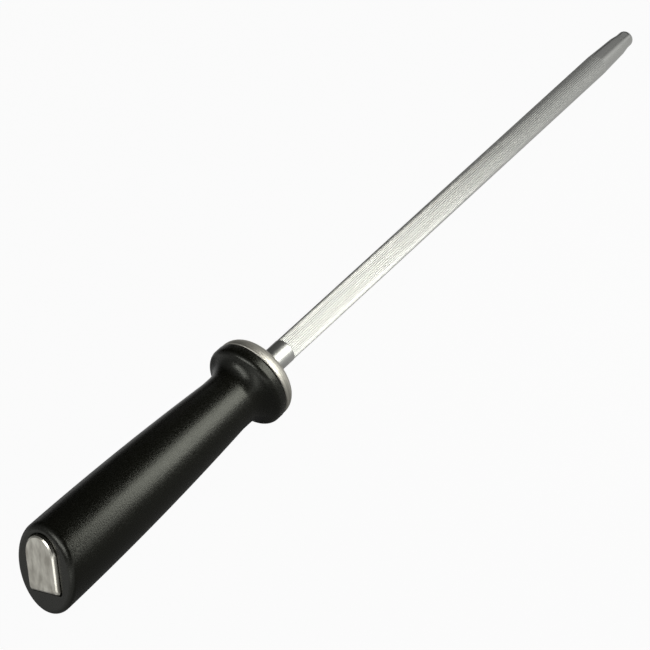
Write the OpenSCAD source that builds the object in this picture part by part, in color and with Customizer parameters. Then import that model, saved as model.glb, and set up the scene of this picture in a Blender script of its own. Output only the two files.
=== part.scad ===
// Knife sharpening steel: a fluted steel rod whose tang clamps a guard and a moulded grip.
// Sizes are in millimetres. The rod lies along X with its tip at +X, and +Z is up.
// The origin is on the rod's axis, in the plane of the guard's front face.

/* [Rod] */
// Free length of the rod, from the guard's front face to the tip
rod_len = 249; // [180:1:350]
// Diameter of the plain shank
rod_d = 10.2; // [9:0.2:13]
// Length of the plain shank ahead of the guard
shank_len = 13.5; // [8:0.5:30]
// Number of flutes around the rod
flute_count = 40; // [24:2:46]
// Depth of a flute below the lands
flute_depth = 0.14; // [0.08:0.02:0.2]
// Width of the plain land between two flutes
flute_land = 0.2; // [0.15:0.05:0.3]
// How far the lands lie below the shank's surface, which a chamfer leads down to
land_relief = 0.17; // [0.16:0.01:0.3]
// Length of the ground taper that the flutes run out on
taper_len = 15.5; // [10:0.5:30]
// Diameter at the small end of the taper
taper_d = 8.35; // [7.6:0.05:8.8]
// Length of the polished nose
nose_len = 9; // [8:0.5:15]
// Diameter of the nose
nose_d = 7.1; // [6.4:0.1:7.4]
// Length of the slope that leads from the taper down to the nose
nose_lead = 4; // [1:0.5:4.5]
// Radius that rounds the end of the nose
nose_round = 3; // [0.5:0.1:3.1]

/* [Guard] */
// Diameter of the guard
guard_d = 35.6; // [30:0.2:44]
// Thickness of the guard
guard_t = 6.5; // [6.2:0.1:9]
// Radius that rounds the guard's front edge
guard_round = 5.5; // [1:0.1:5.8]
// Chamfer on the guard's back edge, which leaves a fine line against the grip
guard_chamfer = 0.25; // [0.1:0.05:0.4]

/* [Tang and its fastening] */
// Diameter of the tang, less than the shank so that a conical shoulder pulls on the guard
tang_d = 8; // [7:0.1:8.4]
// Distance across the two flats that key the grip to the tang
tang_flats = 6.6; // [6.2:0.1:7]
// Diameter of the threaded end of the tang
thread_d = 6; // [5:0.5:6]
// Length of thread ahead of the nut washer
thread_lead = 6; // [2:0.5:12]
// Length of thread left standing behind the nut
thread_tail = 2; // [0.5:0.5:3]
// Diameter of the washer under the nut
washer_d = 12.5; // [11.6:0.1:13.2]
// Thickness of that washer
washer_t = 1.6; // [1:0.1:2.5]
// Distance across the flats of the nut
nut_flats = 10; // [9:0.5:11]
// Thickness of the nut
nut_t = 5; // [3:0.5:6]

/* [Grip] */
// Length of the grip along the axis, from the guard to the butt face
grip_len = 120.7; // [100:0.5:160]
// Diameter of the collar that backs the guard
collar_d = 36; // [35:0.5:44]
// Length of the collar's straight rim
collar_land = 3.35; // [2:0.05:6]
// Radius that rounds the collar's back shoulder
collar_round = 2.8; // [2:0.1:3.8]
// Angle of the collar's back face from the axis
collar_angle = 60; // [45:1:63]
// Smallest diameter of the neck
neck_d = 23.5; // [21:0.1:25]
// Radius of the hollow between the neck and the collar
neck_round = 8; // [4:0.5:9.5]
// Length of the straight neck behind that hollow
neck_land = 4.6; // [2:0.2:12]
// Diameter of the grip at the butt face
butt_d = 33; // [30:0.5:40]
// How far the grip's side bows outward between the neck and the butt
grip_bow = 0.9; // [0:0.1:2]
// Slant of the butt face, its upper edge nearer the tip
butt_slant = 22; // [0:1:26]
// Radius that rounds the rim of the butt
butt_round = 3.2; // [1:0.1:4]
// Diameter of the well that the nut sits in
well_d = 13.8; // [13.6:0.1:14.4]
// Depth of that well along the axis, from the butt face
well_depth = 19; // [16:0.5:26]

/* [End cap] */
// Width of the arched cap
cap_w = 17.4; // [16.4:0.2:20]
// Height of the cap along the butt face
cap_h = 22.6; // [19:0.2:24]
// Distance from the axis down to the cap's straight edge, along the butt face
cap_drop = 8.3; // [8.1:0.1:9.5]
// Thickness of the cap's plate
cap_t = 3.6; // [2.6:0.1:5]
// How far the cap stands proud of the butt face
cap_proud = 1.6; // [0.8:0.1:2]
// Bevel around the cap's outer edge
cap_bevel = 0.5; // [0.2:0.1:0.8]
// Radius of the cap's two lower corners
cap_corner = 1.2; // [0.5:0.1:3]
// Open gap around the cap in its recess
cap_gap = 0.5; // [0.2:0.05:0.6]
// Length of the round plug that holds the cap in the well
plug_len = 4; // [2:0.5:4.5]

/* [Clearances] */
// Radial play of the tang in the guard, the grip and the washer
tang_play = 0.1; // [0.05:0.01:0.2]
// Radial play of the cap's plug in the well
plug_play = 0.05; // [0.02:0.01:0.1]

/* [Hidden] */
$fn = 96;

// Overlap that fuses two bodies of one piece, and the run of a cut past a face
fuse = 1;
// Thickness of the thin layers that a bevelled plate is drawn between
film = 0.01;
// Steps along an arc of an outline, along the grip's side, and around the butt
arc_steps = 10;
side_steps = 14;
butt_sides = 72;
// Rings that carry the butt from its slanted rim to a square section
blend_rings = 5;
// Straight length of grip ahead of the rim's highest point
butt_stub = 8;
// The butt and the front of the grip lap inside each other, and meet in a hairline at the surface
seam_lap = 1;
seam_gap = 0.05;

shank_r = rod_d / 2;
land_r = shank_r - land_relief;
land_x = shank_len + land_relief;
// The flutes start just ahead of the chamfer's foot
flute_x = land_x + land_relief;
nose_x = rod_len - nose_len;
taper_x = nose_x - taper_len;
// The shank's back end is a cone at 45 degrees that centres the guard
seat_len = (rod_d - tang_d) / 2;
// A flute is the hollow left by a round cutter: its chord, radius and distance from the axis
flute_chord = 2 * land_r * sin(180 / flute_count) - flute_land;
flute_r = (pow(flute_chord / 2, 2) + pow(flute_depth, 2)) / (2 * flute_depth);
flute_axis = land_r - flute_depth + flute_r;

collar_x = -guard_t;
butt_x = collar_x - grip_len;
collar_r = collar_d / 2;
neck_r = neck_d / 2;
butt_r = butt_d / 2;
well_x = butt_x + well_depth;
nut_x = well_x - washer_t;
tang_end_x = nut_x - nut_t - thread_tail;
thread_x = well_x + thread_lead;
cap_sunk = cap_t - cap_proud;

// The collar's shoulder ends where its back face starts, and the face runs down to the neck's hollow
shoulder_x = collar_x - collar_land;
face_x = shoulder_x - collar_round * sin(collar_angle);
face_r = collar_r - collar_round * (1 - cos(collar_angle));
hollow_r = neck_r + neck_round;
face_len = (face_r - hollow_r + neck_round * cos(collar_angle)) / sin(collar_angle);
neck_x = face_x - face_len * cos(collar_angle) - neck_round * sin(collar_angle);
// The grip's side starts to swell behind the straight neck
side_x = neck_x - neck_land;
stub_x = butt_x + butt_r * tan(butt_slant) + butt_round / cos(butt_slant) + butt_stub;

// Points of an arc, as [radius, x] pairs, between two angles measured from +radius towards +x
function arc(x, r, radius, from, to) =
    [for (i = [0:arc_steps]) let (a = from + (to - from) * i / arc_steps)
        [r + radius * cos(a), x + radius * sin(a)]];

// Radius of the grip's side at a place along the axis
function side_at(x) =
    let (u = (side_x - x) / (side_x - butt_x))
    neck_r + (butt_r - neck_r) * u + 4 * grip_bow * u * (1 - u);

// Place along the axis where a slanted plane cuts the grip's side at angle a from the top
function cut_x(x, a, tries = 4) =
    tries == 0 ? x : butt_cut(cut_x(x, a, tries - 1), x, a);
function butt_cut(guess, x, a) = x + tan(butt_slant) * side_at(guess) * cos(a);

// Point of the slanted section that starts at x on the axis, drawn in by inset along its own plane
function rim_point(x, a, inset) =
    let (r = side_at(cut_x(x, a)))
    let (across = sin(a), up = cos(a) * cos(butt_slant))
    let (scale_in = inset / norm([across, up]))
    let (y = r * sin(a) - across * scale_in)
    let (z = r * cos(a) - up * scale_in * cos(butt_slant))
    [x + tan(butt_slant) * z, y, z];

// Point of the grip's side at angle a, a share of the way from the rim to the square section
function blend_point(a, share) =
    let (rim_x = cut_x(butt_x + butt_round / cos(butt_slant), a))
    let (x = rim_x + (stub_x - seam_gap - rim_x) * share)
    [x, side_at(x) * sin(a), side_at(x) * cos(a)];

// Turns a body drawn along +Z so that it lies along +X
module along_x(x = 0) {
    translate([x, 0, 0]) rotate([0, 90, 0]) children();
}

// Places a body on the butt face: local +X runs up the face and local +Z points out of it
module on_butt() {
    translate([butt_x, 0, 0]) rotate([0, butt_slant - 90, 0]) children();
}

// Round bar with two flats, as long as the keyed stretch
module keyed_bar(d, flats, from_x, to_x) {
    intersection() {
        along_x(from_x) cylinder(d = d, h = to_x - from_x);
        translate([from_x, -flats / 2, -d]) cube([to_x - from_x, flats, 2 * d]);
    }
}

// Outline of the cap on the butt face, grown evenly by a margin
module cap_outline(margin) {
    half = cap_w / 2 + margin;
    crown = cap_h - cap_drop - cap_w / 2;
    low = -cap_drop - margin;
    translate([crown, 0]) circle(r = half);
    translate([low + cap_corner, -half]) square([crown - low - cap_corner, 2 * half]);
    translate([low, cap_corner - half]) square([crown - low, 2 * (half - cap_corner)]);
    for (side = [-1, 1])
        translate([low + cap_corner, side * (half - cap_corner)]) circle(r = cap_corner);
}

// One piece of steel from the polished nose to the thread on the tang
module sharpening_rod() {
    outline = concat(
        [[0, -seat_len - fuse], [tang_d / 2, -seat_len - fuse], [tang_d / 2, -seat_len]],
        [[shank_r, 0], [shank_r, shank_len]],
        [[land_r, land_x], [land_r, taper_x], [taper_d / 2, nose_x]],
        [[nose_d / 2, nose_x + nose_lead]],
        arc(rod_len - nose_round, nose_d / 2 - nose_round, nose_round, 0, 90),
        [[0, rod_len]]);
    color("gainsboro") difference() {
        union() {
            along_x() rotate_extrude() polygon(outline);
            along_x(collar_x) cylinder(d = tang_d, h = guard_t);
            keyed_bar(tang_d, tang_flats, thread_x, collar_x + film);
            along_x(tang_end_x) cylinder(d = thread_d, h = thread_x - tang_end_x + fuse);
        }
        for (i = [0:flute_count - 1])
            rotate([i * 360 / flute_count, 0, 0])
                translate([0, 0, flute_axis])
                    along_x(flute_x) cylinder(r = flute_r, h = nose_x - flute_x);
    }
}

// Turned stainless guard, clamped between the shank's cone and the grip's collar
module guard() {
    outer = guard_d / 2;
    hole = tang_d / 2 + tang_play;
    outline = concat(
        [[hole, collar_x], [outer - guard_chamfer, collar_x], [outer, collar_x + guard_chamfer]],
        arc(-guard_round, outer - guard_round, guard_round, 0, 90),
        [[hole + seat_len, 0], [hole, -seat_len]]);
    color("silver") along_x() rotate_extrude() polygon(outline);
}

// Collar, neck and side of the grip as one turned form that stops short of the butt
module grip_front() {
    side = [for (i = [0:side_steps]) let (x = stub_x + (side_x - stub_x) * i / side_steps)
        [side_at(x), x]];
    hollow = arc(neck_x, hollow_r, -neck_round, 0, -collar_angle);
    shoulder = arc(shoulder_x, collar_r - collar_round, collar_round, -collar_angle, 0);
    lap = [[0, stub_x - seam_lap], [side_at(stub_x) - seam_lap, stub_x - seam_lap]];
    outline = concat(lap, side, hollow, shoulder, [[collar_r, collar_x], [0, collar_x]]);
    along_x() rotate_extrude() polygon(outline);
}

// Butt of the grip, lofted from a square section to the slanted face with its rounded rim
module grip_butt() {
    angles = [for (i = [0:butt_sides - 1]) i * 360 / butt_sides];
    rim = [for (k = [0:arc_steps]) let (t = 90 * k / arc_steps)
        [for (a = angles)
            rim_point(butt_x + butt_round * (1 - cos(t)) / cos(butt_slant), a, butt_round * (1 - sin(t)))]];
    blend = [for (k = [1:blend_rings]) [for (a = angles) blend_point(a, k / blend_rings)]];
    lap_x = stub_x - seam_gap + seam_lap;
    lap_r = side_at(stub_x) - seam_lap;
    rings = concat(rim, blend, [[for (a = angles) [lap_x, lap_r * sin(a), lap_r * cos(a)]]]);
    last = len(rings) - 1;
    first_face = [for (i = [butt_sides - 1:-1:0]) i];
    last_face = [for (i = [0:butt_sides - 1]) last * butt_sides + i];
    walls = [for (k = [0:last - 1], i = [0:butt_sides - 1])
        let (here = k * butt_sides + i, next = k * butt_sides + (i + 1) % butt_sides)
        each [[here, next, here + butt_sides], [next, next + butt_sides, here + butt_sides]]];
    polyhedron([for (ring = rings) each ring], concat([first_face, last_face], walls));
}

// Moulded black grip with its keyed tang hole, nut well and cap recess
module grip() {
    color([0.12, 0.12, 0.12]) difference() {
        union() {
            grip_front();
            grip_butt();
        }
        keyed_bar(tang_d + 2 * tang_play, tang_flats + 2 * tang_play, well_x - fuse, collar_x + fuse);
        along_x(butt_x - cap_h) cylinder(d = well_d, h = cap_h + well_depth);
        on_butt() translate([0, 0, -cap_sunk]) linear_extrude(cap_t + fuse) cap_outline(cap_gap);
    }
}

// Flat washer that spreads the nut's pull over the floor of the well
module nut_washer() {
    color("lightgray") along_x(nut_x) difference() {
        cylinder(d = washer_d, h = washer_t);
        translate([0, 0, -fuse]) cylinder(d = thread_d + 2 * tang_play, h = washer_t + 2 * fuse);
    }
}

// Hexagon nut that draws the tang, guard and grip together
module tang_nut() {
    color("darkgray") along_x(nut_x - nut_t) difference() {
        cylinder(d = nut_flats / cos(30), h = nut_t, $fn = 6);
        translate([0, 0, -fuse]) cylinder(d = thread_d + 2 * tang_play, h = nut_t + 2 * fuse);
    }
}

// Stainless cap with a bevelled edge, held by a plug pressed into the mouth of the well
module end_cap() {
    plug_x = butt_x + cap_sunk / cos(butt_slant);
    color("silver") union() {
        on_butt() translate([0, 0, -cap_sunk]) linear_extrude(cap_t - cap_bevel) cap_outline(0);
        on_butt() hull() {
            translate([0, 0, cap_proud - cap_bevel - film]) linear_extrude(film) cap_outline(0);
            translate([0, 0, cap_proud - film]) linear_extrude(film) cap_outline(-cap_bevel);
        }
        intersection() {
            along_x(butt_x - cap_h) cylinder(d = well_d - 2 * plug_play, h = cap_h + plug_x - butt_x + plug_len);
            on_butt() translate([-cap_h, -cap_h, -cap_h]) cube([2 * cap_h, 2 * cap_h, cap_h]);
        }
    }
}

sharpening_rod();
guard();
grip();
nut_washer();
tang_nut();
end_cap();
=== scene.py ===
import math

import bmesh
import bpy
from mathutils import Matrix, Vector


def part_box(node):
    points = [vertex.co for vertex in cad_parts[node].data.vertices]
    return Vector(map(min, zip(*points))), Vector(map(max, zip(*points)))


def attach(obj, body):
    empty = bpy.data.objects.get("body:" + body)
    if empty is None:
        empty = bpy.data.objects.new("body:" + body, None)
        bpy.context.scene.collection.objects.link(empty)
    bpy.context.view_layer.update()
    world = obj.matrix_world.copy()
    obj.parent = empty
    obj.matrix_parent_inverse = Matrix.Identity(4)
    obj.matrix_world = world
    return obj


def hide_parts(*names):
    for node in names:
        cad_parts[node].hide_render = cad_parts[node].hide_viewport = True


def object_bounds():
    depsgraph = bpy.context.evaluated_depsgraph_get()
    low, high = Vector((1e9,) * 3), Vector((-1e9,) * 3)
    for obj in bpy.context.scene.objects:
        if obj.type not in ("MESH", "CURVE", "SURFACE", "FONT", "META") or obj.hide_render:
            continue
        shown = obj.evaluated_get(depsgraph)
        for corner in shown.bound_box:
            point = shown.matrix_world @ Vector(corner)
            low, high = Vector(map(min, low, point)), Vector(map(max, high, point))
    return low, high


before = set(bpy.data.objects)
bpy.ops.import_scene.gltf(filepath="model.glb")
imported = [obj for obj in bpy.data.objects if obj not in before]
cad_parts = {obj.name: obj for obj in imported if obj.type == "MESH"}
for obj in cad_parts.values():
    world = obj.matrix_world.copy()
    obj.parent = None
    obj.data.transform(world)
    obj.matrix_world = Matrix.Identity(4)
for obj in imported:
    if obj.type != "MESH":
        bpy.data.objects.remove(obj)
cad_low, cad_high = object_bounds()

# Sharpening rod: one bar of hard-chromed steel, polished at the shank and the nose.
# Its flutes get shallower towards the tip and run out on a ground taper before the nose.
# Its tang, keyed by two flats, runs through the guard and the grip to a threaded end.
MM = 0.001
rod_low, rod_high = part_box("sharpening_rod")
guard_low, guard_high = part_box("guard")
washer_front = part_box("nut_washer")[1].x

shank_r = rod_high.z
shank_len = 13.5 * MM
land_relief = 0.17 * MM
land_r = shank_r - land_relief
land_x = shank_len + land_relief

flute_x = land_x + land_relief
flute_count = 40
flute_depth = 0.25 * MM
flute_land = 0.12 * MM
flute_chord = 2 * land_r * math.sin(math.pi / flute_count) - flute_land
flute_r = (flute_chord**2 / 4 + flute_depth**2) / (2 * flute_depth)
flute_axis = land_r - flute_depth + flute_r
sides_per_flute = 16

nose_len = 9 * MM
nose_r = 3.55 * MM
nose_round = 3 * MM
nose_x = rod_high.x - nose_len
nose_lead = 4 * MM
polish_x = nose_x + 0.8 * nose_lead

taper_len = 15.5 * MM
taper_r = 4.175 * MM
taper_x = nose_x - taper_len
taper_slope = (land_r - taper_r) / taper_len
fade_x = 60 * MM
fade_slope = 0.00087
faded_depth = flute_depth - fade_slope * (taper_x - fade_x)
run_out_spare = 1.1
run_out_x = taper_x + run_out_spare * faded_depth / (taper_slope + fade_slope)
run_out_r = taper_r + taper_slope * (nose_x - run_out_x)

tang_r = 4 * MM
tang_flats = 6.6 * MM
seat_x = tang_r - shank_r
thread_r = 3 * MM
thread_lead = 6 * MM
thread_x = washer_front + thread_lead
thread_chamfer = 0.5 * MM
crisp = 0.005 * MM
shank_edge = 20 * crisp


class Wire:
    """A socket of a node tree, so that sums on it are written as Python expressions."""

    def __init__(self, socket):
        self.socket = socket
        self.tree = socket.id_data

    def into(self, target):
        self.tree.links.new(self.socket, target)

    def add(self, kind, settings=None, values=None, out=0):
        """Adds any node: its settings come first, then the values or links of its sockets."""
        node = self.tree.nodes.new(kind)
        for name, value in (settings or {}).items():
            setattr(node, name, value)
        for name, value in (values or {}).items():
            if isinstance(value, Wire):
                value.into(node.inputs[name])
            else:
                node.inputs[name].default_value = value
        return Wire(node.outputs[out])

    def of(self, operation, *others):
        return self.add("ShaderNodeMath", {"operation": operation}, dict(enumerate((self, *others))))

    def parts(self):
        split = self.add("ShaderNodeSeparateXYZ", None, {0: self}).socket.node
        return [Wire(output) for output in split.outputs]

    def __add__(self, other):
        return self.of("ADD", other)

    __radd__ = __add__

    def __mul__(self, other):
        return self.of("MULTIPLY", other)

    __rmul__ = __mul__

    def __sub__(self, other):
        return self.of("SUBTRACT", other)

    def __rsub__(self, other):
        return self * -1.0 + other

    def __truediv__(self, other):
        return self.of("DIVIDE", other)

    def __gt__(self, other):
        return self.of("GREATER_THAN", other)

    def __lt__(self, other):
        return self.of("LESS_THAN", other)


def stretch(start, end, steps):
    """Points of an outline from just past its start to its end, in equal steps."""
    return [Vector(start).lerp(Vector(end), k / steps) for k in range(1, steps + 1)]


def arc(x, r, radius, first, last, steps):
    """Points of an arc of an outline, between two angles in degrees, measured from +X towards +R."""
    turns = [math.radians(first + (last - first) * k / steps) for k in range(steps + 1)]
    return [Vector((x + radius * math.cos(turn), r + radius * math.sin(turn))) for turn in turns]


def fluted_bar_tree():
    """Turns an outline round the X axis, with flutes that fade along it and two flats on its tang."""
    tree = bpy.data.node_groups.new("fluted_bar", "GeometryNodeTree")
    names = {}
    kinds = {"Outline": "Geometry", "Sides": "Int", "Flutes": "Int", "Flute Radius": "Float"}
    kinds |= {"Flute Axis": "Float", "Flute Start": "Float", "Fade Start": "Float", "Fade": "Float"}
    kinds |= {"Key Start": "Float", "Key End": "Float", "Key Flats": "Float", "Steel": "Material"}
    for name, kind in kinds.items():
        socket = tree.interface.new_socket(name, in_out="INPUT", socket_type="NodeSocket" + kind)
        names[name] = socket.identifier
    tree.interface.new_socket("Bar", in_out="OUTPUT", socket_type="NodeSocketGeometry")
    start = tree.nodes.new("NodeGroupInput")
    given = {name: Wire(start.outputs[name]) for name in kinds}
    outline = given["Outline"]

    rings = outline.add("GeometryNodeAttributeDomainSize", None, {"Geometry": outline})
    grid = outline.add(
        "GeometryNodeMeshGrid", None, {"Vertices X": given["Sides"] + 1.0, "Vertices Y": rings})
    index = outline.add("GeometryNodeInputIndex")
    side = (index / rings).of("FLOOR")
    place = outline.add("GeometryNodeInputPosition")
    point = outline.add(
        "GeometryNodeSampleIndex",
        {"data_type": "FLOAT_VECTOR"},
        {"Geometry": outline, "Value": place, "Index": index - side * rings})
    x, _, radius = point.parts()

    angle = side / given["Sides"] * math.tau
    pitch = given["Flutes"].of("POWER", -1.0) * math.tau
    offset = angle - (angle / pitch).of("ROUND") * pitch
    reach = offset.of("SINE") * given["Flute Axis"]
    room = given["Flute Radius"] * given["Flute Radius"] - reach * reach
    hollow = offset.of("COSINE") * given["Flute Axis"] - room.of("MAXIMUM", 0.0).of("SQRT")
    hollow = hollow + (x - given["Fade Start"]).of("MAXIMUM", 0.0) * given["Fade"]
    cut = (room > 0.0) * (x > given["Flute Start"])
    radius = radius - cut * (radius - hollow).of("MAXIMUM", 0.0)

    y = radius * angle.of("SINE")
    z = radius * angle.of("COSINE")
    keyed = (x > given["Key Start"]) * (x < given["Key End"])
    flat = given["Key Flats"] * 0.5
    y = y - keyed * (y - y.of("MINIMUM", flat).of("MAXIMUM", flat * -1.0))
    spot = x.add("ShaderNodeCombineXYZ", None, {"X": x, "Y": y, "Z": z})
    bar = grid.add("GeometryNodeSetPosition", None, {"Geometry": grid, "Position": spot})
    bar = bar.add("GeometryNodeMergeByDistance", None, {"Geometry": bar, "Distance": 1e-6})
    bar = bar.add("GeometryNodeRealizeInstances", None, {"Geometry": bar})
    bar = bar.add("GeometryNodeSetMaterial", None, {"Geometry": bar, "Material": given["Steel"]})
    bar.into(tree.nodes.new("NodeGroupOutput").inputs["Bar"])
    return tree, names


def start_finish(name, **constants):
    """A new material: itself, its shader with the constants set, and its Object coordinates."""
    material = bpy.data.materials.new(name)
    material.use_nodes = True
    shader = material.node_tree.nodes["Principled BSDF"]
    for socket, value in constants.items():
        shader.inputs[socket.replace("_", " ")].default_value = value
    coordinates = material.node_tree.nodes.new("ShaderNodeTexCoord")
    return material, shader, Wire(coordinates.outputs["Object"])


def grain(place, scale, detail=2.0):
    """Noise on a place that is stretched by a scale along each axis."""
    spread = place.add("ShaderNodeVectorMath", {"operation": "MULTIPLY"}, {0: place, 1: scale})
    return spread.add("ShaderNodeTexNoise", None, {"Vector": spread, "Scale": 1.0, "Detail": detail})


def emboss(shader, height, distance):
    """Raises a shader's surface by a height, times a distance."""
    bump = height.add("ShaderNodeBump", None, {"Height": height, "Distance": distance})
    bump.into(shader.inputs["Normal"])


def smooth(piece, sharp_angle):
    """Points a closed piece's faces outwards, and shades it smooth but for its sharp edges."""
    work = bmesh.new()
    work.from_mesh(piece.data)
    bmesh.ops.recalc_face_normals(work, faces=work.faces)
    work.to_mesh(piece.data)
    work.free()
    piece.data.shade_smooth()
    piece.data.set_sharp_from_angle(angle=math.radians(sharp_angle))


shank_roughness = 0.36
nose_roughness = 0.16
ground_roughness = 0.29
scratch_contrast = 0.12
scratch_height = 0.01 * MM
rod_steel, shader, place = start_finish("rod_steel", Metallic=1.0, Base_Color=(0.6, 0.605, 0.58, 1))
x, _, _ = place.parts()
nose = x > polish_x
ground = (x > land_x) - nose
scratches = grain(place, (60, 6000, 6000))
turning = grain(place, (6000, 60, 60))
roughness = ground * (ground_roughness - shank_roughness) + nose * (nose_roughness - shank_roughness)
roughness = roughness + shank_roughness + (scratches - 0.5) * scratch_contrast
roughness.into(shader.inputs["Roughness"])
emboss(shader, ground * scratches + (1.0 - ground) * turning, scratch_height)

rod_outline = [Vector((rod_high.x, 0))]
rod_outline += arc(rod_high.x - nose_round, nose_r - nose_round, nose_round, 0, 90, steps=10)
rod_outline += [Vector((nose_x + nose_lead, nose_r)), Vector((nose_x, taper_r))]
rod_outline += stretch((nose_x, taper_r), (run_out_x, run_out_r), steps=6)
rod_outline += stretch((run_out_x, run_out_r), (taper_x, land_r), steps=24)
rod_outline += stretch((taper_x, land_r), (flute_x + crisp, land_r), steps=16)
rod_outline += [Vector((flute_x, land_r)), Vector((land_x, land_r)), Vector((shank_len, shank_r))]
rod_outline += [Vector((shank_len - shank_edge, shank_r))]
rod_outline += stretch((shank_len - shank_edge, shank_r), (0, shank_r), steps=4)
rod_outline += [Vector((seat_x, tang_r)), Vector((guard_low.x, tang_r))]
rod_outline += [Vector((guard_low.x - crisp, tang_r)), Vector((thread_x + crisp, tang_r))]
rod_outline += [Vector((thread_x, thread_r)), Vector((rod_low.x + thread_chamfer, thread_r))]
rod_outline += [Vector((rod_low.x, thread_r - thread_chamfer)), Vector((rod_low.x, 0))]

rod = bpy.data.objects.new("fluted_rod", bpy.data.meshes.new("rod_outline"))
rod.data.from_pydata([(point.x, 0, point.y) for point in rod_outline], [], [])
bpy.context.scene.collection.objects.link(rod)
tree, names = fluted_bar_tree()
turned = rod.modifiers.new("fluted_bar", "NODES")
turned.node_group = tree
turned[names["Sides"]] = flute_count * sides_per_flute
turned[names["Flutes"]] = flute_count
turned[names["Flute Radius"]] = flute_r
turned[names["Flute Axis"]] = flute_axis
turned[names["Flute Start"]] = flute_x
turned[names["Fade Start"]] = fade_x
turned[names["Fade"]] = fade_slope
turned[names["Key Start"]] = thread_x
turned[names["Key End"]] = guard_low.x
turned[names["Key Flats"]] = tang_flats
turned[names["Steel"]] = rod_steel
rod_mesh = bpy.data.meshes.new_from_object(rod.evaluated_get(bpy.context.evaluated_depsgraph_get()))
rod.modifiers.clear()
rod.data = rod_mesh
smooth(rod, sharp_angle=75)
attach(rod, "root")
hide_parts("sharpening_rod")

# Guard: a disc turned from stainless steel, with a large round on its front edge.
# It slips over the tang and is clamped between the shank's cone and the grip's collar.
guard_r = guard_high.z
guard_round = 5.5 * MM
guard_chamfer = 0.25 * MM
tang_play = 0.1 * MM
turned_sides = 180


def lathe(outline):
    """Rings of points, one for each point of an outline that is turned round the X axis."""
    angles = [math.tau * k / turned_sides for k in range(turned_sides)]
    return [[Vector((x, r * math.sin(a), r * math.cos(a))) for a in angles] for x, r in outline]


def skin(name, rings, loop, finish):
    """A closed piece over rings of equally many points: a loop of rings, or a row shut at both ends."""
    count = len(rings[0])
    faces = []
    for k in range(len(rings) if loop else len(rings) - 1):
        here = k * count
        there = (k + 1) % len(rings) * count
        for i in range(count):
            j = (i + 1) % count
            faces.append((here + i, here + j, there + j, there + i))
    if not loop:
        last = (len(rings) - 1) * count
        faces += [tuple(range(count)), tuple(range(last, last + count))]
    mesh = bpy.data.meshes.new(name)
    mesh.from_pydata([point for ring in rings for point in ring], [], faces)
    mesh.materials.append(finish)
    piece = bpy.data.objects.new(name, mesh)
    bpy.context.scene.collection.objects.link(piece)
    return piece


def deepen(noise, contrast):
    """Noise with its light and dark parts further apart."""
    return (noise - 0.5) * contrast + 0.5


def mottle(shader, share, dark, light):
    """Colours a shader between a dark and a light tone, by the share of the light one."""
    tones = {"Factor": share, 6: dark, 7: light}
    tone = share.add("ShaderNodeMix", {"data_type": "RGBA"}, tones, 2)
    tone.into(shader.inputs["Base Color"])


line_roughness = 0.36
line_contrast = 0.24
line_height = 0.03 * MM
line_drift = 0.02
guard_steel, shader, place = start_finish("guard_steel", Metallic=1.0)
x, y, z = place.parts()
spread = (y * y + z * z).of("SQRT")
lap = x.add("ShaderNodeCombineXYZ", None, {"X": x, "Y": spread, "Z": y * line_drift})
tool_lines = grain(lap, (2500, 2500, 2500))
bands = deepen(grain(lap, (1100, 1100, 1100), detail=3.0), contrast=2.4)
mottle(shader, bands, dark=(0.36, 0.35, 0.31, 1), light=(0.64, 0.62, 0.56, 1))
(tool_lines * line_contrast + line_roughness).into(shader.inputs["Roughness"])
emboss(shader, tool_lines, line_height)

bore_r = tang_r + tang_play
guard_outline = [(guard_low.x, bore_r), (guard_low.x, guard_r - guard_chamfer)]
guard_outline += [(guard_low.x + guard_chamfer, guard_r)]
guard_outline += arc(guard_high.x - guard_round, guard_r - guard_round, guard_round, 90, 0, steps=24)
guard_outline += [(guard_high.x, bore_r - seat_x), (seat_x, bore_r)]
guard = skin("turned_guard", lathe(guard_outline), loop=True, finish=guard_steel)
smooth(guard, sharp_angle=25)
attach(guard, "root")
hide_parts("guard")

# Grip: satin black plastic, moulded with a collar behind the guard, a hollow neck and a slanted butt.
# The tang's flats key it, a nut in the well at its butt pulls it up to the guard,
# and an arched recess in the butt takes the cap.
grip_len = 120.7 * MM
collar_x = guard_low.x
collar_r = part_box("grip")[1].z
collar_edge = 0.5 * MM
shadow_gap = 0.5 * MM
shadow_depth = 0.9 * MM
collar_land = 3.35 * MM
collar_round = 2.8 * MM
collar_angle = 60
neck_r = 11.75 * MM
neck_round = 8 * MM
neck_land = 4.6 * MM
butt_x = collar_x - grip_len
butt_r = 16.5 * MM
grip_bow = 0.9 * MM
butt_slant = math.radians(22)
butt_round = 2.4 * MM
well_x = washer_front
well_r = 6.9 * MM
cap_w = 17.4 * MM
cap_h = 22.6 * MM
cap_drop = 8.3 * MM
cap_corner = 1.2 * MM
cap_sunk = 2 * MM
cap_gap = 0.5 * MM
recess_edge = 0.2 * MM
crown_steps = 40
corner_steps = 12
straight_steps = 16
side_steps = 40
rim_steps = 14

shoulder_x = collar_x - collar_land
back_angle = math.radians(collar_angle)
face_x = shoulder_x - collar_round * math.sin(back_angle)
face_r = collar_r - collar_round * (1 - math.cos(back_angle))
hollow_r = neck_r + neck_round
face_len = (face_r - hollow_r + neck_round * math.cos(back_angle)) / math.sin(back_angle)
neck_x = face_x - face_len * math.cos(back_angle) - neck_round * math.sin(back_angle)
side_x = neck_x - neck_land
up_butt = Vector((math.sin(butt_slant), 0, math.cos(butt_slant)))
out_of_butt = Vector((-math.cos(butt_slant), 0, math.sin(butt_slant)))


def side_at(x):
    """Radius of the grip's side at a place along the axis."""
    share = (side_x - x) / (side_x - butt_x)
    return neck_r + (butt_r - neck_r) * share + 4 * grip_bow * share * (1 - share)


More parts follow.
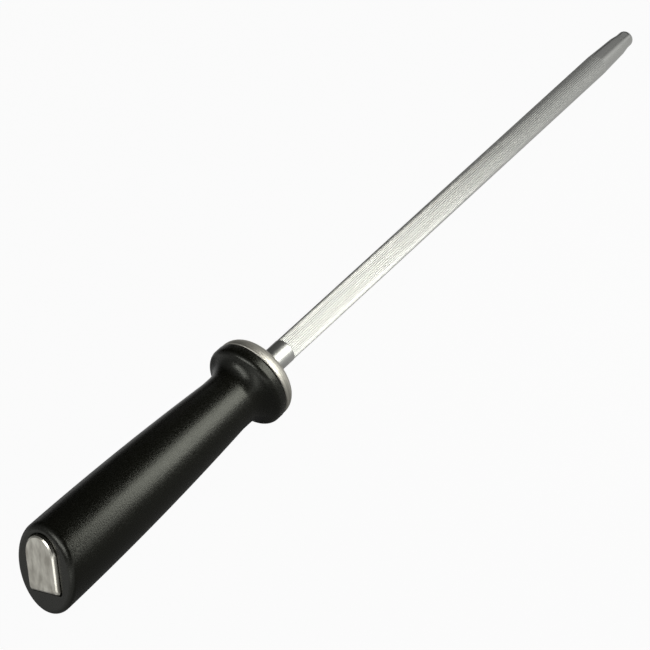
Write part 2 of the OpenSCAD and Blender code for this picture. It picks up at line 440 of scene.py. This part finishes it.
def cut_x(x, angle):
    """Where the slanted plane through x on the axis cuts the grip's side, at an angle from the top."""
    found = x
    for _ in range(6):
        found = x + math.tan(butt_slant) * side_at(found) * math.cos(angle)
    return found


def rim_point(x, angle, inset):
    """Point of a slanted section of the grip's side, drawn in by an inset along its plane."""
    r = side_at(cut_x(x, angle))
    across = math.sin(angle)
    up = math.cos(angle) * math.cos(butt_slant)
    drawn = inset / math.hypot(across, up)
    z = r * math.cos(angle) - up * drawn * math.cos(butt_slant)
    return Vector((x + math.tan(butt_slant) * z, r * across - across * drawn, z))


def on_butt(up, across, out):
    """Point given by its place up and across the butt face and its height out of it."""
    return Vector((butt_x, across, 0)) + up_butt * up + out_of_butt * out


def arch(margin):
    """Outline of the cap on the butt face as (up, across) pairs from its top, grown by a margin."""
    half = cap_w / 2 + margin
    crown = cap_h - cap_drop - cap_w / 2
    low = -cap_drop - margin
    run = low + cap_corner - crown
    turns = [math.radians(90 * k / crown_steps) for k in range(crown_steps + 1)]
    corners = [math.radians(90 * k / corner_steps) for k in range(corner_steps + 1)]
    edge = [(crown + half * math.cos(turn), half * math.sin(turn)) for turn in turns]
    edge += [(crown + run * k / straight_steps, half) for k in range(1, straight_steps)]
    edge += [(low + cap_corner * (1 - math.sin(turn)), half - cap_corner * (1 - math.cos(turn)))
             for turn in corners]
    foot = range(1, straight_steps + 1)
    edge += [(low, (half - cap_corner) * (1 - k / straight_steps)) for k in foot]
    return edge + [(up, -across) for up, across in reversed(edge[1:-1])]


def arch_ring(margin, out):
    """Ring of the arch at a height out of the butt face."""
    return [on_butt(up, across, out) for up, across in arch(margin)]


def arch_angles(margin):
    """Angles round the axis, from the top, that the points of the arch lie at."""
    return [math.atan2(across, up * math.cos(butt_slant)) for up, across in arch(margin)]


grip_angles = arch_angles(cap_gap)


def round_ring(x, r, flats=None):
    """Ring of the grip's points round the axis, with two flats where the tang's key needs them."""
    limit = flats / 2 if flats else r
    ring = [Vector((x, r * math.sin(angle), r * math.cos(angle))) for angle in grip_angles]
    return [Vector((point.x, min(max(point.y, -limit), limit), point.z)) for point in ring]


def blend_ring(share):
    """Ring of the grip's side, from square at the neck to slanted at the butt's rim."""
    ring = []
    for angle in grip_angles:
        rim_x = cut_x(butt_x + butt_round / math.cos(butt_slant), angle)
        x = side_x + (rim_x - side_x) * share
        ring.append(Vector((x, side_at(x) * math.sin(angle), side_at(x) * math.cos(angle))))
    return ring


def rim_ring(turn):
    """Ring of the butt's rounded rim, from the side at 0 degrees to the face at 90."""
    x = butt_x + butt_round * (1 - math.sin(math.radians(turn))) / math.cos(butt_slant)
    inset = butt_round * (1 - math.cos(math.radians(turn)))
    return [rim_point(x, angle, inset) for angle in grip_angles]


def bored_ring(r, out, angles):
    """Ring where a round hole or plug along the axis meets a level of the butt."""
    shift = butt_x - out / math.cos(butt_slant)
    spots = [(r * math.sin(angle), r * math.cos(angle)) for angle in angles]
    return [Vector((shift + math.tan(butt_slant) * z, y, z)) for y, z in spots]


cloud_roughness = 0.06
pebble_roughness = 0.5
pebble_height = 0.04 * MM
black_grip, shader, place = start_finish(
    "black_grip", Base_Color=(0.003, 0.003, 0.002, 1), Specular_Tint=(0.98, 1.0, 0.9, 1))
pebble = grain(place, (1500, 1500, 1500), detail=3.0)
cloud = grain(place, (120, 120, 120))
(cloud * cloud_roughness + pebble * pebble_roughness).into(shader.inputs["Roughness"])
emboss(shader, pebble, pebble_height)

key_r = tang_r + tang_play
key_flats = tang_flats + 2 * tang_play
collar_front = collar_x - shadow_gap
shadow_r = collar_r - shadow_depth
grip_outline = [Vector((collar_x, shadow_r)), Vector((collar_front, shadow_r))]
grip_outline += arc(collar_front - collar_edge, collar_r - collar_edge, collar_edge, 0, 90, steps=4)
grip_outline += arc(shoulder_x, collar_r - collar_round, collar_round, 90, 90 + collar_angle, steps=16)
grip_outline += arc(neck_x, hollow_r, neck_round, collar_angle - 90, -90, steps=16)
grip_outline += [Vector((side_x, neck_r))]
grip_rings = [round_ring(collar_x, key_r, key_flats)]
grip_rings += [round_ring(point.x, point.y) for point in grip_outline]
grip_rings += [blend_ring(k / side_steps) for k in range(1, side_steps)]
grip_rings += [rim_ring(90 * k / rim_steps) for k in range(rim_steps + 1)]
grip_rings += [[rim_point(butt_x, angle, butt_round + recess_edge) for angle in grip_angles]]
grip_rings += [arch_ring(cap_gap + 2 * recess_edge, 0)]
for degrees in (0, 30, 60, 90):
    sunk = recess_edge * (1 - math.cos(math.radians(degrees)))
    margin = cap_gap + recess_edge * (1 - math.sin(math.radians(degrees)))
    grip_rings.append(arch_ring(margin, -sunk))
grip_rings += [arch_ring(cap_gap, -cap_sunk), bored_ring(well_r, -cap_sunk, grip_angles)]
grip_rings += [round_ring(well_x, well_r), round_ring(well_x, key_r, key_flats)]
grip = skin("moulded_grip", grip_rings, loop=True, finish=black_grip)
smooth(grip, sharp_angle=30)
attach(grip, "root")
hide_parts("grip")

# Washer and nut: plain bright steel fasteners on the threaded end of the tang, in the grip's well.
# The cap hides them. Their solids have the right shape and only take a finish.
fastener_roughness = 0.3
dulling_contrast = 0.2
fastener_steel, shader, place = start_finish(
    "fastener_steel", Metallic=1.0, Base_Color=(0.5, 0.5, 0.5, 1))
dulling = grain(place, (900, 900, 900))
(dulling * dulling_contrast + fastener_roughness).into(shader.inputs["Roughness"])
for name in ("nut_washer", "tang_nut"):
    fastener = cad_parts[name]
    fastener.material_slots[0].material = fastener_steel

# End cap: an arched plate of stainless steel, brushed up and down, with a bright bevelled edge.
# It stands a little proud in its recess and is held by a plug pressed into the mouth of the well.
cap_proud = 1.6 * MM
cap_wall = 0.4 * MM
cap_draft = 0.35 * MM
cap_bevel = 0.65 * MM
cap_bevel_drop = 0.4 * MM
plug_play = 0.05 * MM
plug_len = 4 * MM
plug_r = well_r - plug_play
plug_x = butt_x + cap_sunk / math.cos(butt_slant) + plug_len

bevel_roughness = 0.22
brushing_contrast = 0.2
brushing_height = 0.012 * MM
face_margin = 0.02 * MM
face_level = cap_proud - butt_x * math.cos(butt_slant) - face_margin
cap_steel, shader, place = start_finish("cap_steel", Metallic=1.0)
turned_up = place.add(
    "ShaderNodeVectorRotate", {"rotation_type": "Y_AXIS"}, {"Vector": place, "Angle": -butt_slant})
brushing = grain(turned_up, (150, 5000, 60))
blotches = deepen(grain(turned_up, (150, 320, 150), detail=3.0), contrast=3.0)
mottle(shader, blotches, dark=(0.47, 0.45, 0.39, 1), light=(0.84, 0.82, 0.73, 1))
inwards, _, _ = turned_up.parts()
face = inwards * -1.0 > face_level
(face * (brushing * brushing_contrast) + bevel_roughness).into(shader.inputs["Roughness"])
emboss(shader, brushing, brushing_height)

plug_mouth = bored_ring(plug_r, -cap_sunk, arch_angles(0))
cap_rings = [[Vector((plug_x, point.y, point.z)) for point in plug_mouth], plug_mouth]
cap_rings += [arch_ring(0, -cap_sunk), arch_ring(0, cap_wall)]
cap_rings += [arch_ring(-cap_draft, cap_proud - cap_bevel_drop)]
cap_rings += [arch_ring(-cap_draft - cap_bevel, cap_proud)]
cap = skin("arched_cap", cap_rings, loop=False, finish=cap_steel)
smooth(cap, sharp_angle=25)
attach(cap, "root")
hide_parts("end_cap")

# Stage: a pale paper floor that the steel lies on, in a white studio with a dim ceiling.
# To the eye both are white. In the metal and the gloss the floor shows painted light and shade:
# a painted shadow under the grip, and a painted brighter glow under the rod and behind the butt.
# The walls are brightest low down and at the butt.
floor_z = cad_low.z
floor_half = 6
floor_corners = [(-floor_half, -floor_half, floor_z), (floor_half, -floor_half, floor_z),
                 (floor_half, floor_half, floor_z), (-floor_half, floor_half, floor_z)]
floor_mesh = bpy.data.meshes.new("floor")
floor_mesh.from_pydata(floor_corners, [], [(0, 1, 2, 3)])
floor = bpy.data.objects.new("floor", floor_mesh)
bpy.context.scene.collection.objects.link(floor)


def ramp(value, start, end, first, last):
    """Goes evenly from a first to a last value, while the given one goes from start to end."""
    return value.add("ShaderNodeMapRange", None, {"Value": value, 1: start, 2: end, 3: first, 4: last})


# Glow levels of the floor as the metal sees it: a painted shadow under the grip, painted light under
# the rod and behind the butt.
seen_floor = 0.96
floor_painted_shadow = 0.03
floor_painted_light_under_rod = 0.4
floor_painted_light_behind_butt = 0.36
floor_white = bpy.data.materials.new("floor_white")
floor_white.use_nodes = True
floor_mesh.materials.append(floor_white)
nodes = floor_white.node_tree.nodes
nodes.clear()
path = nodes.new("ShaderNodeLightPath")
camera_ray = Wire(path.outputs["Is Camera Ray"])
mirrored = Wire(path.outputs["Is Glossy Ray"]).of("MAXIMUM", Wire(path.outputs["Is Transmission Ray"]))
paper = camera_ray.add("ShaderNodeBsdfDiffuse", None, {"Color": (0.2, 0.2, 0.2, 1)})
glow = camera_ray.add("ShaderNodeEmission", None, {"Color": (1, 1, 1, 1)})
along, _, _ = Wire(nodes.new("ShaderNodeTexCoord").outputs["Object"]).parts()
# Painted reflection: in glossy rays the floor glows dark under the grip as a painted shadow, and
# brighter under the rod and behind the butt as painted light.
painted_glow_under_rod = ramp(along, -0.005, 0.035, floor_painted_shadow, floor_painted_light_under_rod)
painted_glow_behind_butt = ramp(along, -0.13, -0.145, floor_painted_shadow, floor_painted_light_behind_butt)
seen = (camera_ray * seen_floor).of("MAXIMUM", mirrored * painted_glow_under_rod.of("MAXIMUM", painted_glow_behind_butt))
mixed = paper.add("ShaderNodeMixShader", None, {0: seen, 1: paper, 2: glow})
mixed.into(nodes.new("ShaderNodeOutputMaterial").inputs["Surface"])

wall_light = 0.75
butt_gain = 0.3
far_loss = 0.35
ceiling_light = 0.03
front_light = 0.6
left_light = 0.18
world = bpy.data.worlds.new("studio")
bpy.context.scene.world = world
world.use_nodes = True
nodes = world.node_tree.nodes
nodes.clear()
camera_ray = Wire(nodes.new("ShaderNodeLightPath").outputs["Is Camera Ray"])
along, across, height = Wire(nodes.new("ShaderNodeTexCoord").outputs["Generated"]).parts()
corner = (along < 0.0) * (across < 0.0) * along.of("POWER", 4.0)
wall = wall_light - along * butt_gain - across.of("MAXIMUM", 0.0) * far_loss + corner
wall = ramp(height, 0.08, 0.35, 1.0, ceiling_light) * wall
front = ramp(height, 0.25, 0.75, front_light, 0.0) * ramp(across, -0.5, -0.2, 1.0, 0.0)
front = front * ramp(along, 0.2, 0.5, 0.0, 1.0)
left = ramp(along, -0.35, -0.05, left_light, 0.0)
strength = wall.of("MAXIMUM", front).of("MAXIMUM", left).of("MAXIMUM", camera_ray)
surround = strength.add("ShaderNodeBackground", None, {"Color": (1, 1, 1, 1), "Strength": strength})
surround.into(nodes.new("ShaderNodeOutputWorld").inputs["Surface"])

# Softbox: one large lamp to the right of the camera, which draws the long highlight on the grip.
# Its cloth is brighter in the middle, so a second, smaller lamp shines in the same place.
softbox_place = Vector((0.21, -0.303, 0.153))
softbox_aim = Vector((0, 0, 0))
softbox_tint = (1.0, 1.0, 0.95)


def hang_lamp(name, place, size, radiance):
    """Hangs a rectangular lamp, which shines straight down until it is aimed."""
    lamp = bpy.data.lights.new(name, "AREA")
    lamp.shape = "RECTANGLE"
    lamp.size, lamp.size_y = size
    lamp.energy = radiance * math.pi * size[0] * size[1]
    hung = bpy.data.objects.new(name, lamp)
    hung.location = place
    bpy.context.scene.collection.objects.link(hung)
    return hung


def aim_lamp(hung, target):
    """Turns a lamp towards a point."""
    hung.rotation_euler = (target - hung.location).to_track_quat("-Z", "Y").to_euler()


for name, size, radiance in (("softbox", (0.2, 0.3), 3.0), ("softbox_core", (0.05, 0.27), 27.0)):
    softbox = hang_lamp(name, softbox_place, size, radiance)
    softbox.data.color = softbox_tint
    aim_lamp(softbox, softbox_aim)

# Fill: a weaker lamp high behind the butt, turned down to the rear half of the grip.
# The collar's back and the cap's edge catch it.
fill_place = Vector((-0.58, -0.06, 0.53))
fill_aim = Vector((-0.1, 0, 0))
fill = hang_lamp("fill", fill_place, size=(0.7, 0.22), radiance=4)
aim_lamp(fill, fill_aim)

# Overhead: a dim panel that hangs level, high up beyond the tip.
# It lights the flutes on the rod's upper side.
overhead_place = Vector((0.77, 0.15, 0.5))
hang_lamp("overhead", overhead_place, size=(0.66, 0.9), radiance=0.25)

# Camera: at the photograph's angle, rolled so that the rod rises to the right.
# It stands 1.2 m off, nearer to the butt than to the tip, and looks down through a long lens.
azimuth = math.radians(-35.88)
elevation = math.radians(27.37)
roll = math.radians(-24.17)
distance = 1222.8 * MM
aim_right = 24.56 * MM
aim_up = 17.98 * MM
focal_length = 172.2
back = Vector((math.sin(azimuth) * math.cos(elevation), -math.cos(azimuth) * math.cos(elevation),
               math.sin(elevation)))
level = Vector((math.cos(azimuth), math.sin(azimuth), 0))
rise = back.cross(level)
right = level * math.cos(roll) + rise * math.sin(roll)
up = rise * math.cos(roll) - level * math.sin(roll)
lens = bpy.data.cameras.new("camera")
lens.lens = focal_length
lens.clip_end = 50
camera = bpy.data.objects.new("camera", lens)
turn = Matrix((right, up, back)).transposed().to_4x4()
camera.matrix_world = Matrix.Translation(right * aim_right + up * aim_up + back * distance) @ turn
bpy.context.scene.collection.objects.link(camera)
bpy.context.scene.camera = camera
bpy.context.scene.view_settings.view_transform = "Standard"
